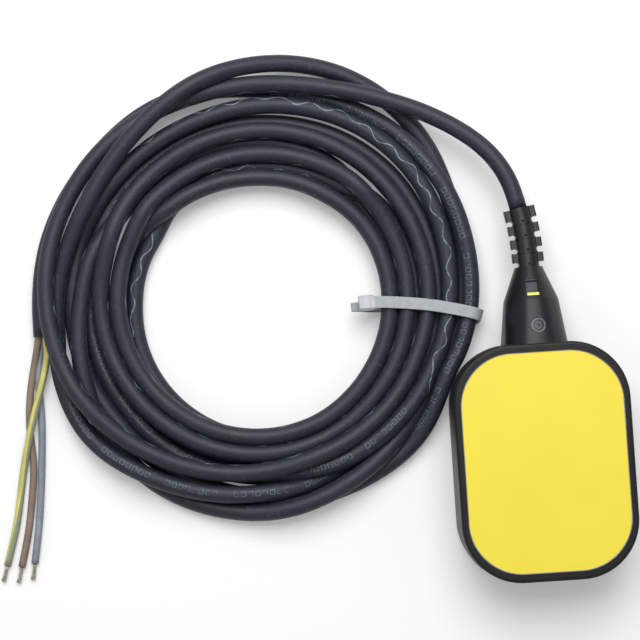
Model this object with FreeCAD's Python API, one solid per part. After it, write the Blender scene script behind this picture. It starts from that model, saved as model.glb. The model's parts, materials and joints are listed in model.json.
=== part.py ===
import FreeCAD, Part
import math
import os
from FreeCAD import Vector

# Cable float switch: a flat sealed float with a rolling ball switch inside, a tapered
# cable neck with a flexible strain relief, and a tied coil of three-core rubber cable.
# It lies on the rear face of the float. X is across the float, Y runs along it towards
# the cable, Z is up through its thickness. All lengths are in millimetres.

# Float body: two shells welded together at mid thickness
body_width = 84.0
body_length = 112.5
body_thickness = 41.0
body_corner = 28.4
draft = 0.5
edge_round = 1.6
wall = 3.0
face_wall = 2.2
tongue_width = 1.0
tongue_height = 1.2
tongue_clearance = 0.1

# Labels: a coloured plate let into each face, inside a raised rim
label_side_margin = 3.15
label_end_margin = 4.0
label_thickness = 0.5
label_below_rim = 0.6
label_clearance = 0.1

# Cable neck
neck_length = 36.5
neck_base_width = 30.8
neck_shoulder_width = 25.6
neck_shoulder_depth = 28.0
neck_shoulder_height = 20.5
neck_top_diameter = 13.2
neck_top_flat = 0.1
neck_base_corner = 10.0
neck_shoulder_corner = 11.0
neck_saddle = 4.0
neck_flange_width = 37.0
neck_flange_thickness = 3.0
neck_clearance = 0.3
gland_bore = 19.0
gland_depth = 14.0
gland_nut_length = 12.0
gland_nut_hole = 9.4
gland_slot = 2.4
window_width = 5.8
window_length = 8.0
window_depth = 1.3
window_height_on_neck = 22.3
tab_length = 1.4
tab_proud = 0.15
tab_clearance = 0.1
mark_diameter = 7.2
mark_line = 0.5
mark_relief = 0.4
mark_height_on_neck = 8.6

# Strain relief: a rubber sleeve with four pairs of side ribs, bent by the cable
relief_bend = 141.0
relief_length = 28.6
relief_core = 10.6
relief_spigot = 4.0
relief_width = 15.0
relief_rib_depth = 4.6
relief_ribs = 4
relief_pitch = 6.95
relief_first_notch = 1.15
relief_notch = 2.6
relief_notch_bottom = 9.0
relief_groove_width = 0.5
relief_groove_depth = 0.35
relief_groove_below_notch = 0.6
relief_groove_side = 1.2
relief_rib_round = 0.6
relief_pin_hole = 1.3
relief_pin_depth = 1.6

# Cable
cable_diameter = 8.4
cable_tail_inside = 7.5
core_diameter = 3.2
core_circle = 1.9
conductor_diameter = 1.5
conductor_length = 8.0

# Sealed switch capsule inside the float
capsule_width = 56.0
capsule_length = 56.0
capsule_wall = 2.0
capsule_corner = 4.0
capsule_lid = 2.0
capsule_gasket = 1.0
capsule_offset = -8.0
cradle_rib = 2.0
cradle_rib_height = 4.0
cradle_rib_pitch = 18.0
cradle_rib_inset = 3.0
cradle_post_height = 12.0
cradle_post_arm = 8.0
cradle_clearance = 0.3

# Rolling ball and its track
ball_radius = 8.0
ball_x = -15.0
ball_travel = 12.0
ball_clearance = 0.3
rail_gap = 6.0
rail_width = 2.0
track_wall = 1.6
track_end_reach = 4.0
fence_above_middle = 3.0

# Lever that the ball swings
pivot_offset = 13.0
pivot_y = -20.0
ball_start_from_pivot = 18.0
lever_thickness = 2.0
lever_height = 8.0
lever_length = 34.0
lever_barrel = 6.0
lever_ball_gap = 0.5
pin_diameter = 3.0
pin_clearance = 0.05
boss_diameter = 7.0
boss_clearance = 0.3
pin_seat = 6.0

# Snap switch
switch_width = 15.9
switch_length = 27.8
switch_height = 10.3
switch_wall = 1.5
switch_cover_thickness = 1.0
switch_front_from_pivot = 1.0
switch_peg_diameter = 2.0
switch_peg_clearance = 0.05
switch_peg_block = 3.6
ledge_half = 1.8
ledge_length = 12.0
plunger_from_pivot = 18.0
plunger_diameter = 2.4
plunger_clearance = 0.05
plunger_collar = 4.4
plunger_collar_thickness = 1.0
plunger_gap = 0.3
plunger_dome = 0.9
blade_thickness = 0.3
blade_width = 3.5
blade_below = 10.0
blade_above = 7.6
blade_heel = 1.5
contact_gap = 0.3
terminal_thickness = 0.8
terminal_width = 4.75
terminal_out = 6.4
terminal_pitch = 10.0
terminal_root = 0.5
terminal_hole = 1.6
terminal_hole_from_end = 2.0
open_contact_from_wall = 3.0
contact_arm = 1.6

# Leads inside the float
grommet_margin = 0.8
grommet_lip = 1.0
lead_straight = 5.0
lead_stagger = 0.35
lead_bend = 10.0
lead_drop_length = 9.0
lead_clearance = 1.0
earth_lead_offset = 6.0
lead_order = ("brown", "earth", "blue")
lead_first_turn = 30.0
end_cap_length = 10.0
end_cap_diameter = 4.2

# Coil of cable beside the float: distances of its outline from its middle, at even steps all
# round, counter-clockwise from +X
coil_beside_body = 92.5
coil_above_body_middle = 87.25
coil_layers = 2.05
coil_edge_round = 3.8
coil_outside = (111.0, 112.9, 116.2, 121.4, 124.9, 124.4, 119.7, 114.5, 112.4, 111.3, 111.2, 111.4,
                110.8, 111.2, 110.6, 108.5, 107.3, 109.0, 108.8, 107.2, 106.8, 106.4, 105.4, 107.3)
coil_inside = (62.3, 60.7, 58.4, 57.6, 58.7, 59.5, 56.5, 60.5, 63.9, 66.5, 66.2, 63.8)

# Free stretch of cable, chosen by hand: a straight start from the strain relief, points in the
# float's frame, then points from the coil's middle: x, y, z
run_start = 10.0
run_by_float = ((-9.1, 122.6, 20.1), (-15.7, 132.2, 19.1), (-25.5, 141.2, 17.8))
run_by_coil = ((97.1, 80.1, 16.4), (83.8, 86.9, 15.1), (71.5, 91.6, 14.2))

# Ends of the three cores, chosen by hand from inside the jacket's end to where they are bare:
# x and y from the coil's middle, z
brown_route = ((-107.1, -12.0, 5.3), (-109.1, -24.5, 3.9), (-112.1, -37.0, 1.9), (-113.3, -51.5, 1.7),
               (-112.9, -67.0, 1.7), (-114.4, -83.0, 1.7), (-116.7, -99.0, 1.7), (-119.7, -112.5, 1.7),
               (-122.7, -123.2, 1.7))
earth_route = ((-103.8, -12.0, 5.3), (-103.8, -23.5, 4.2), (-105.9, -35.5, 5.1), (-109.1, -45.5, 5.4),
               (-112.6, -54.5, 5.3), (-116.4, -64.5, 4.2), (-118.9, -77.5, 2.0), (-121.8, -93.0, 1.7),
               (-125.4, -107.5, 1.7), (-129.5, -122.4, 1.7))
blue_route = ((-105.5, -12.0, 2.4), (-106.5, -23.5, 1.7), (-106.4, -36.0, 1.7), (-108.0, -49.5, 1.7),
              (-108.7, -64.5, 1.7), (-109.7, -80.0, 1.7), (-111.5, -95.5, 1.7), (-114.0, -109.5, 1.7),
              (-115.9, -121.6, 1.7))

# Cable tie
tie_width = 5.0
tie_thickness = 1.3
tie_angle = -9.3
tie_inner_reach = 56.0
tie_outer_reach = 112.2
tie_round = 5.0
tie_head = (6.5, 8.0, 6.0)
tie_tail = 4.5
tie_head_proud = 0.6
tie_head_round = 0.6
tie_above_floor = 0.15
tie_above_coil = 0.7
tie_offset = 3.9

# How the shapes are made: the share of a run that a tangent arc takes, how far a rib reaches into
# its wall, how far a cutter reaches past it, and how near counts as touching
arc_share = 0.45
rooted = 0.2
past = 1.0
touch = 0.01

# Worked out from the values above
mid = body_thickness / 2.0
total_length = body_length + neck_length
body_y = -total_length / 2.0 + body_length / 2.0
body_end = body_y + body_length / 2.0
neck_top = body_end + neck_length
label_recess = label_below_rim + label_thickness
inner_floor = label_recess + face_wall
coil_centre = (-body_width / 2.0 - coil_beside_body, body_y + coil_above_body_middle)
capsule_y = body_y + capsule_offset
capsule_bottom = inner_floor + cradle_rib_height
capsule_top = body_thickness - capsule_bottom
capsule_floor = capsule_bottom + capsule_wall
base_rim = capsule_top - capsule_lid - capsule_gasket
lid_under = capsule_top - capsule_lid
pivot = Vector(ball_x + pivot_offset, capsule_y + pivot_y, mid)
plunger_y = pivot.y + plunger_from_pivot
switch_front = pivot.x + switch_front_from_pivot
cable_radius = cable_diameter / 2.0
core_radius = core_diameter / 2.0


def outline(width, length, corner, centre=(0.0, 0.0), z=0.0):
    """Closed rounded rectangle in a level plane, as one wire."""
    half_x, half_y = width / 2.0, length / 2.0
    flat_x, flat_y = half_x - corner, half_y - corner
    diagonal = corner * math.sqrt(0.5)
    corners = ((1, -1), (1, 1), (-1, 1), (-1, -1))
    edges = []
    starts = []
    for sx, sy in corners:
        middle = Vector(centre[0] + sx * flat_x, centre[1] + sy * flat_y, z)
        along_x = middle + Vector(sx * corner, 0, 0)
        along_y = middle + Vector(0, sy * corner, 0)
        bulge = middle + Vector(sx * diagonal, sy * diagonal, 0)
        first, last = (along_y, along_x) if sx * sy < 0 else (along_x, along_y)
        starts.append((first, bulge, last))
    for index, (first, bulge, last) in enumerate(starts):
        edges.append(Part.Arc(first, bulge, last).toShape())
        edges.append(Part.LineSegment(last, starts[(index + 1) % 4][0]).toShape())
    return Part.Wire(edges)


def block(width, length, corner, low, high, centre=(0.0, 0.0)):
    """Upright block with rounded corners, from one level to another."""
    face = Part.Face(outline(width, length, corner, centre, low))
    return face.extrude(Vector(0, 0, high - low))


def box(low, high):
    """Plain box between two opposite corners."""
    size = [high[i] - low[i] for i in range(3)]
    return Part.makeBox(size[0], size[1], size[2], Vector(*low))


def rod(start, direction, length, radius):
    """Round bar."""
    return Part.makeCylinder(radius, length, Vector(*start), Vector(*direction))


def edges_at(shape, test):
    return [edge for edge in shape.Edges if test(edge.BoundBox)]


def tangent_arc(before, corner, after, largest_bend=None):
    """Arc that rounds a corner between two straight runs, as large as they allow, and its radius."""
    inward = (corner - before).normalize()
    onward = (after - corner).normalize()
    half_turn = inward.getAngle(onward) / 2.0
    cut = arc_share * min((corner - before).Length, (after - corner).Length)
    if largest_bend is not None:
        cut = min(cut, largest_bend * math.tan(half_turn))
    bend = cut / math.tan(half_turn)
    aside = (onward - inward).normalize()
    middle = corner + aside * (bend / math.cos(half_turn) - bend)
    return Part.Arc(corner - inward * cut, middle, corner + onward * cut), bend


def tube(points, radius, name, largest_bend=None):
    """Round cord along straight runs joined by tangent arcs; prints its radii."""
    points = [Vector(*p) for p in points]
    start = points[0]
    edges = []
    radii = []
    for before, corner, after in zip(points, points[1:], points[2:]):
        arc, bend = tangent_arc(before, corner, after, largest_bend)
        edges.append(Part.LineSegment(start, arc.StartPoint).toShape())
        edges.append(arc.toShape())
        radii.append(round(bend))
        start = arc.EndPoint
    edges.append(Part.LineSegment(start, points[-1]).toShape())
    path = Part.Wire(edges)
    section = Part.Wire(Part.Circle(points[0], points[1] - points[0], radius).toShape())
    solid = path.makePipeShell([section], True, False)
    expected = math.pi * radius ** 2 * path.Length
    print(name, "length", round(path.Length, 1), "radii", radii, "volume ratio",
          round(solid.Volume / expected, 4))
    return solid


def shell_half():
    """Rear half shell, open upwards at mid thickness, with its cradle for the capsule."""
    spot = (0.0, body_y)
    outer = Part.makeLoft([outline(body_width - 2 * draft, body_length - 2 * draft,
                                   body_corner - draft, spot, 0.0),
                           outline(body_width, body_length, body_corner, spot, mid)], True, True)
    outer = outer.makeFillet(edge_round, edges_at(outer, lambda b: b.ZMax < touch))
    inner_corner = body_corner - wall
    cavity = Part.makeLoft([outline(body_width - 2 * draft - 2 * wall, body_length - 2 * draft - 2 * wall,
                                    inner_corner - draft, spot, inner_floor),
                            outline(body_width - 2 * wall, body_length - 2 * wall,
                                    inner_corner, spot, mid)], True, True)
    half = outer.cut(cavity)
    half = half.cut(block(body_width - 2 * draft - 2 * label_side_margin,
                          body_length - 2 * draft - 2 * label_end_margin,
                          label_corner(), 0.0, label_recess, spot))
    return half.fuse(cradle()).cut(neck_seat()).removeSplitter()


def label_corner():
    return body_corner - draft - label_side_margin


def cradle():
    """Egg-crate ribs under the capsule and an angle post at each of its corners."""
    parts = []
    top = inner_floor + cradle_rib_height
    foot = inner_floor - rooted
    reach_x, reach_y = capsule_width / 2.0 - cradle_rib_inset, capsule_length / 2.0 - cradle_rib_inset
    for place in (-cradle_rib_pitch, 0.0, cradle_rib_pitch):
        parts.append(box((place - cradle_rib / 2, capsule_y - reach_y, foot),
                         (place + cradle_rib / 2, capsule_y + reach_y, top)))
        parts.append(box((-reach_x, capsule_y + place - cradle_rib / 2, foot),
                         (reach_x, capsule_y + place + cradle_rib / 2, top)))
    near_x = capsule_width / 2.0 + cradle_clearance
    near_y = capsule_length / 2.0 + cradle_clearance
    post_top = inner_floor + cradle_post_height
    inside = block(2 * near_x, 2 * near_y, capsule_corner + cradle_clearance, foot, post_top,
                   (0.0, capsule_y))
    for sx in (-1, 1):
        for sy in (-1, 1):
            corner_x, corner_y = sx * (near_x + cradle_rib), capsule_y + sy * (near_y + cradle_rib)
            back_x, back_y = corner_x - sx * cradle_post_arm, corner_y - sy * cradle_post_arm
            arm = box((min(corner_x, back_x), min(corner_y, back_y), foot),
                      (max(corner_x, back_x), max(corner_y, back_y), post_top))
            parts.append(arm.cut(inside))
    return parts[0].fuse(parts[1:])


def weld_ring(width, low, high):
    """Level ring that follows the middle of the shell wall."""
    spot = (0.0, body_y)
    shapes = []
    for side in (1, -1):
        inset = wall - side * width
        shapes.append(block(body_width - inset, body_length - inset, body_corner - inset / 2.0,
                            low, high, spot))
    return shapes[0].cut(shapes[1])


def neck_seat():
    """Lower part of the neck, from inside the shells' end wall to its shoulder; both shells fit round it."""
    return Part.makeLoft([upright_section(neck_base_width, body_thickness, neck_base_corner,
                                          body_end - neck_saddle),
                          upright_section(neck_shoulder_width, neck_shoulder_depth, neck_shoulder_corner,
                                          body_end + neck_shoulder_height)], True, True)


def upright_section(width, depth, corner, y):
    """Rounded rectangle across the neck's axis, at one height of the neck."""
    wire = outline(width, depth, corner)
    wire.rotate(Vector(0, 0, 0), Vector(1, 0, 0), 90)
    wire.translate(Vector(0, y, mid))
    return wire


def upright_section_block(width, depth, corner, low_y, high_y):
    face = Part.Face(upright_section(width, depth, corner, low_y))
    return face.extrude(Vector(0, high_y - low_y, 0))


def rear_shell():
    groove = weld_ring(tongue_width + 2 * tongue_clearance, mid - tongue_height - tongue_clearance, mid)
    return shell_half().cut(groove)


def front_shell():
    half = shell_half().mirror(Vector(0, 0, mid), Vector(0, 0, 1))
    tongue = weld_ring(tongue_width, mid - tongue_height, mid + rooted).cut(neck_seat())
    return half.fuse(tongue).removeSplitter()


def label(at_front):
    """Coloured plate on one face."""
    width = body_width - 2 * draft - 2 * label_side_margin - 2 * label_clearance
    length = body_length - 2 * draft - 2 * label_end_margin - 2 * label_clearance
    low = body_thickness - label_recess if at_front else label_below_rim
    plate = block(width, length, label_corner() - label_clearance, low, low + label_thickness,
                  (0.0, body_y))
    return plate.cut(neck_seat())


def neck_section_at(height):
    """Width and depth of the neck at a height above the end of the body."""
    if height < neck_shoulder_height:
        share = (height + neck_saddle) / (neck_shoulder_height + neck_saddle)
        return (neck_base_width + share * (neck_shoulder_width - neck_base_width),
                body_thickness + share * (neck_shoulder_depth - body_thickness))
    share = (height - neck_shoulder_height) / (neck_length - neck_shoulder_height)
    return (neck_shoulder_width + share * (neck_top_diameter - neck_shoulder_width),
            neck_shoulder_depth + share * (neck_top_diameter - neck_shoulder_depth))


def front_slope(height):
    """Level of the neck's front surface at a height, and its slope in degrees."""
    step = 1.0
    here, above = neck_section_at(height)[1], neck_section_at(height + step)[1]
    return mid + here / 2.0, math.degrees(math.atan((here - above) / 2.0 / step))


def on_neck_front(shape, height):
    """Moves a shape made round the origin, facing +Z, onto the neck's front surface."""
    level, slope = front_slope(height)
    shape.rotate(Vector(0, 0, 0), Vector(1, 0, 0), -slope)
    shape.translate(Vector(0, body_end + height, level))
    return shape


def cable_neck():
    """Tapered neck: seat and flange between the shells, shoulder, round top."""
    top_corner = (neck_top_diameter - neck_top_flat) / 2.0
    upper = Part.makeLoft([upright_section(neck_shoulder_width, neck_shoulder_depth,
                                           neck_shoulder_corner, body_end + neck_shoulder_height),
                           upright_section(neck_top_diameter, neck_top_diameter, top_corner, neck_top)],
                          True, True)
    flange_end = neck_flange_end()
    flange_depth = body_thickness - 2 * inner_floor - 2 * neck_clearance
    flange = upright_section_block(neck_flange_width, flange_depth, neck_base_corner,
                                   flange_end - neck_flange_thickness, flange_end)
    neck = neck_seat().fuse([upper, flange])
    inside = flange_end - neck_flange_thickness
    bores = [rod((0, inside - past, mid), (0, 1, 0), body_end + gland_depth - inside + past,
                 gland_bore / 2.0),
             rod((0, body_end, mid), (0, 1, 0), neck_length + past, cable_radius),
             rod((0, neck_top - relief_spigot, mid), (0, 1, 0), relief_spigot + past, relief_core / 2.0)]
    neck = neck.cut(bores)
    pocket = Part.makeBox(window_width, window_length, 2 * window_depth,
                          Vector(-window_width / 2, 0, -window_depth))
    neck = neck.cut(on_neck_front(pocket, window_height_on_neck))
    ring = rod((0, 0, -past), (0, 0, 1), past + mark_relief, mark_diameter / 2)
    ring = ring.cut(rod((0, 0, -2 * past), (0, 0, 1), 4 * past, mark_diameter / 2 - mark_line))
    return neck.fuse(on_neck_front(ring, mark_height_on_neck)).removeSplitter()


def neck_flange_end():
    """Height of the flange's outer face, just inside the shells' end wall."""
    return body_end - wall - draft - neck_clearance


def marker_tab():
    """Coloured tab at the lower end of the neck's window."""
    tab = Part.makeBox(window_width - 2 * tab_clearance, tab_length, window_depth + tab_proud,
                       Vector(-window_width / 2 + tab_clearance, 0, -window_depth))
    return on_neck_front(tab, window_height_on_neck)


def gland_seal():
    """Rubber ring squeezed round the cable at the top of the gland bore."""
    length = gland_depth + body_end - gland_nut_top()
    ring = rod((0, gland_nut_top(), mid), (0, 1, 0), length, gland_bore / 2.0)
    return ring.cut(rod((0, gland_nut_top() - past, mid), (0, 1, 0), length + 2 * past, cable_radius))


def gland_nut_top():
    return neck_flange_end() - neck_flange_thickness + gland_nut_length


def gland_nut():
    """Slotted ring nut that presses the seal."""
    low = gland_nut_top() - gland_nut_length
    nut = rod((0, low, mid), (0, 1, 0), gland_nut_length, gland_bore / 2.0)
    nut = nut.cut(rod((0, low - past, mid), (0, 1, 0), gland_nut_length + 2 * past, gland_nut_hole / 2.0))
    slot = Part.makeBox(gland_bore + 2 * past, gland_slot, gland_slot,
                        Vector(-gland_bore / 2 - past, low, mid - gland_slot / 2))
    return nut.cut(slot)


def bent_bar(low, radius):
    """Round bar from a height inside the neck, up to the neck's top and round the bend."""
    section = Part.Face(Part.Wire(Part.Circle(Vector(0, neck_top, mid), Vector(0, 1, 0), radius).toShape()))
    bend = section.revolve(Vector(-relief_bend, neck_top, mid), Vector(0, 0, 1),
                           math.degrees(relief_length / relief_bend))
    return rod((0, low, mid), (0, 1, 0), neck_top - low, radius).fuse(bend)


def relief_point(distance):
    """Point on the strain relief's bent axis, at a distance from the neck's top."""
    turn = distance / relief_bend
    return Vector(-relief_bend * (1 - math.cos(turn)), neck_top + relief_bend * math.sin(turn), mid)


def along_relief(shape, distance):
    """Moves a shape made at the neck's top along the strain relief's bent axis."""
    turn = math.degrees(distance / relief_bend)
    shape.rotate(Vector(-relief_bend, neck_top, mid), Vector(0, 0, 1), turn)
    return shape


def relief_notch_places():
    """Distances of the gaps between ribs from the neck's top."""
    return [relief_first_notch + n * relief_pitch for n in range(relief_ribs)]


def strain_relief():
    """Sleeve with side ribs like a ladder, grooves on its front and back, and pin holes."""
    body = bent_bar(neck_top - relief_spigot, relief_core / 2.0)
    places = relief_notch_places()
    tops = [place - relief_notch / 2 for place in places[1:]] + [relief_length]
    ribs = []
    for place, top in zip(places, tops):
        low = place + relief_notch / 2
        rib = Part.makeBox(relief_width, top - low, relief_rib_depth,
                           Vector(-relief_width / 2, neck_top - (top - low) / 2, mid - relief_rib_depth / 2))
        rib = rib.makeFillet(relief_rib_round, edges_at(rib, lambda b: b.YLength > touch))
        ribs.append(along_relief(rib, (low + top) / 2))
    body = body.fuse(ribs)
    cutters = []
    far = relief_width
    for place in places:
        for side in (-1, 1):
            bottom = side * (relief_notch_bottom / 2 + relief_notch / 2)
            round_end = rod((bottom, neck_top, mid - far), (0, 0, 1), 2 * far, relief_notch / 2.0)
            pin_hole = rod((0, neck_top, mid + side * (relief_core / 2 - relief_pin_depth)), (0, 0, side),
                           far, relief_pin_hole / 2.0)
            cutters.append(along_relief(round_end, place))
            cutters.append(along_relief(pin_hole, place))
    for place in places[1:]:
        groove = rod((0, neck_top, mid), (0, 1, 0), relief_groove_width, relief_core)
        groove = groove.cut(rod((0, neck_top - past, mid), (0, 1, 0), 2 * past + relief_groove_width,
                                relief_core / 2 - relief_groove_depth))
        sides = relief_core / 2 - relief_groove_side
        groove = groove.common(box((-sides, neck_top - past, 0), (sides, neck_top + past, body_thickness)))
        cutters.append(along_relief(groove, place - relief_notch / 2 - relief_groove_below_notch))
    end, onward = relief_exit()
    exit_bore = rod(end, onward, relief_notch, cable_radius)
    return body.cut(cutters).cut([cable_tail(), exit_bore]).removeSplitter()


def relief_exit():
    """End of the strain relief's axis and the direction in which the cable leaves it."""
    turn = relief_length / relief_bend
    return relief_point(relief_length), Vector(-math.sin(turn), math.cos(turn), 0)


def cable_tail():
    """Jacketed end of the cable, held inside the neck and the strain relief."""
    return bent_bar(body_end - cable_tail_inside, cable_radius)


def cable_run():
    """Free stretch of cable from the strain relief down onto the coil."""
    start, onward = relief_exit()
    points = [start, start + onward * run_start] + [Vector(*p) for p in run_by_float]
    return tube(points + from_coil(run_by_coil), cable_radius, "cable_run")


def from_coil(route):
    """Points given from the coil's middle, as points in the float's frame."""
    return [Vector(*coil_centre, 0.0) + Vector(*p) for p in route]


def rounded_loop(radii):
    """Closed outline round the coil's middle, with a corner at each radius, rounded by an arc."""
    points = []
    for step, radius in enumerate(radii):
        angle = 2 * math.pi * step / len(radii)
        points.append(Vector(coil_centre[0] + radius * math.cos(angle),
                             coil_centre[1] + radius * math.sin(angle), 0.0))
    arcs = []
    for index, corner in enumerate(points):
        arcs.append(tangent_arc(points[index - 1], corner, points[(index + 1) % len(points)])[0])
    edges = []
    for arc, following in zip(arcs, arcs[1:] + arcs[:1]):
        edges.append(arc.toShape())
        edges.append(Part.LineSegment(arc.EndPoint, following.StartPoint).toShape())
    return Part.Wire(edges)


def cable_coil():
    """The tied turns of cable as one closed ring, with the strap's channel round it."""
    height = coil_layers * cable_diameter
    outer = Part.Face(rounded_loop(coil_outside)).extrude(Vector(0, 0, height))
    inner = Part.Face(rounded_loop(coil_inside)).extrude(Vector(0, 0, height))
    ring = outer.cut(inner)
    ring = ring.makeFillet(coil_edge_round, edges_at(ring, lambda b: b.ZLength < touch))
    return ring.cut(tie_strap())


def tie_frame(shape):
    """Turns and moves a shape made along +X from the coil's middle to the tie's place."""
    shape.translate(Vector(0, tie_offset, 0))
    shape.rotate(Vector(0, 0, 0), Vector(0, 0, 1), tie_angle)
    shape.translate(Vector(coil_centre[0], coil_centre[1], 0))
    return shape


def tie_strap():
    """Strap round the section of the coil, lying in its channel."""
    low, high = tie_above_floor, tie_top()
    loops = []
    for inset in (0.0, tie_thickness):
        face = Part.Face(outline(tie_outer_reach - tie_inner_reach - 2 * inset, high - low - 2 * inset,
                                 tie_round - inset))
        loop = face.extrude(Vector(0, 0, tie_width))
        loop.rotate(Vector(0, 0, 0), Vector(1, 0, 0), 90)
        loop.translate(Vector((tie_outer_reach + tie_inner_reach) / 2, tie_width / 2, (low + high) / 2))
        loops.append(loop)
    return tie_frame(loops[0].cut(loops[1]))


def tie_top():
    """Level of the strap's upper side."""
    return coil_layers * cable_diameter + tie_above_coil


def cable_tie():
    """Strap, its square head at the inner side of the coil and the cut tail."""
    top = tie_top()
    depth, across, tall = tie_head
    head = Part.makeBox(depth, across, tall, Vector(tie_inner_reach - depth + tie_thickness,
                                                    -across / 2, top - tall + tie_head_proud))
    head = head.makeFillet(tie_head_round, head.Edges)
    tail = Part.makeBox(tie_tail + depth, tie_width, tie_thickness,
                        Vector(tie_inner_reach - depth - tie_tail, -tie_width / 2, top - tie_thickness))
    return tie_strap().fuse(tie_frame(head.fuse(tail))).removeSplitter()


def core(route, name):
    """Insulated core from the jacket's end to its bare tip."""
    return tube(from_coil(route), core_radius, name)


def conductor(route, name):
    """Bare end of a core."""
    before, end = from_coil(route[-2:])
    along = (end - before).normalize()
    tip = end + along * conductor_length
    print(name, "from", [round(v, 2) for v in end], "to", [round(v, 2) for v in tip])
    return rod(end, along, conductor_length, conductor_diameter / 2.0)


def capsule_base():
    """Open tray of the sealed capsule, with the ball's track, the pin's boss and the pegs."""
    spot = (0.0, capsule_y)
    tray = block(capsule_width, capsule_length, capsule_corner, capsule_bottom, base_rim, spot)
    tray = tray.cut(block(capsule_width - 2 * capsule_wall, capsule_length - 2 * capsule_wall,
                          capsule_corner - capsule_wall, capsule_floor, base_rim + past, spot))
    start, end = ball_span()
    parts = []
    rail_top = mid - math.sqrt(ball_radius ** 2 - (rail_gap / 2) ** 2) - ball_clearance
    for side in (-1, 1):
        low_x = ball_x + side * (rail_gap + rail_width) / 2 - rail_width / 2
        parts.append(box((low_x, start, capsule_floor - rooted), (low_x + rail_width, end, rail_top)))
    outer_x = ball_x - ball_radius - ball_clearance
    fence_top = mid + fence_above_middle
    parts.append(box((outer_x - track_wall, start - track_wall, capsule_floor - rooted),
                     (outer_x, end + track_wall, fence_top)))
    for y in (start - track_wall, end):
        parts.append(box((outer_x - rooted, y, capsule_floor - rooted),
                         (ball_x + track_end_reach, y + track_wall, fence_top)))
    boss_top = mid - lever_height / 2 - boss_clearance
    parts.append(rod((pivot.x, pivot.y, capsule_floor - rooted), (0, 0, 1), boss_top - capsule_floor + rooted,
                     boss_diameter / 2))
    under_switch = mid - switch_height / 2
    for y in peg_places():
        x = switch_front + switch_peg_block / 2
        parts.append(box((x - ledge_half, y - ledge_half, capsule_floor - rooted),
                         (x + ledge_length, y + ledge_half, under_switch)))
        parts.append(rod((x, y, under_switch - rooted), (0, 0, 1),
                         switch_height + rooted - switch_cover_thickness, switch_peg_diameter / 2))
    tray = tray.fuse(parts)
    pin_hole = rod((pivot.x, pivot.y, boss_top - pin_seat), (0, 0, 1), pin_seat + past, pin_diameter / 2)
    return tray.cut([pin_hole, grommet_block(0.0)]).removeSplitter()


def ball_span():
    """Ends of the ball's track along Y."""
    start = pivot.y + ball_start_from_pivot - ball_radius - ball_clearance
    end = pivot.y + ball_start_from_pivot + ball_travel + ball_radius + ball_clearance
    return start, end


def peg_places():
    reach = (switch_length - switch_peg_block) / 2
    return (plunger_y - reach, plunger_y + reach)


def capsule_cover():
    """Lid of the capsule, with a rib over the ball and a socket for the lever's pin."""
    spot = (0.0, capsule_y)
    lid = block(capsule_width, capsule_length, capsule_corner, lid_under, capsule_top, spot)
    start, end = ball_span()
    rib = box((ball_x - rail_width / 2, start, mid + ball_radius + ball_clearance),
              (ball_x + rail_width / 2, end, lid_under + rooted))
    socket_low = mid + lever_height / 2 + boss_clearance
    socket = rod((pivot.x, pivot.y, socket_low), (0, 0, 1), lid_under + rooted - socket_low,
                 boss_diameter / 2)
    socket = socket.cut(rod((pivot.x, pivot.y, socket_low - past), (0, 0, 1), pin_seat + past,
                            pin_diameter / 2))
    return lid.fuse([rib, socket]).removeSplitter()


def capsule_gasket_ring():
    """Flat gasket between the capsule's tray and lid."""
    spot = (0.0, capsule_y)
    ring = block(capsule_width, capsule_length, capsule_corner, base_rim, lid_under, spot)
    return ring.cut(block(capsule_width - 2 * capsule_wall, capsule_length - 2 * capsule_wall,
                          capsule_corner - capsule_wall, base_rim - past, lid_under + past, spot))


def lever_pin():
    low = mid - lever_height / 2 - boss_clearance - pin_seat
    high = mid + lever_height / 2 + boss_clearance + pin_seat
    return rod((pivot.x, pivot.y, low), (0, 0, 1), high - low, pin_diameter / 2)


def lever_lean(ball_distance):
    """Angle in radians between the lever and the ball's path, just clear of the ball."""
    clear = ball_radius + lever_ball_gap + lever_thickness / 2
    reach = math.hypot(pivot_offset, ball_distance)
    return math.acos(clear / reach) - math.atan2(ball_distance, pivot_offset)


def lever():
    """Swinging arm with a barrel round its pin; its free end leans towards the ball."""
    low = mid - lever_height / 2
    arm = Part.makeBox(lever_thickness, lever_length, lever_height,
                       Vector(pivot.x - lever_thickness / 2, pivot.y, low))
    tip = rod((pivot.x, pivot.y + lever_length, low), (0, 0, 1), lever_height, lever_thickness / 2)
    barrel = rod((pivot.x, pivot.y, low), (0, 0, 1), lever_height, lever_barrel / 2)
    bar = arm.fuse([tip, barrel])
    bar = bar.cut(rod((pivot.x, pivot.y, low - past), (0, 0, 1), lever_height + 2 * past,
                      pin_diameter / 2 + pin_clearance))
    bar.rotate(pivot, Vector(0, 0, 1), math.degrees(lever_lean(ball_start_from_pivot)))
    return bar.removeSplitter()


def steel_ball():
    return Part.makeSphere(ball_radius, Vector(ball_x, pivot.y + ball_start_from_pivot, mid))


def lever_back_at_plunger(ball_distance):
    """X of the lever's back face where the plunger meets it."""
    lean = lever_lean(ball_distance)
    return pivot.x - plunger_from_pivot * math.tan(lean) + lever_thickness / 2 / math.cos(lean)


def plunger_stroke():
    return (lever_back_at_plunger(ball_start_from_pivot + ball_travel)
            - lever_back_at_plunger(ball_start_from_pivot))


def plunger_inner_end():
    return switch_front + switch_wall + contact_gap / 2 + 2 * plunger_collar_thickness


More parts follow.
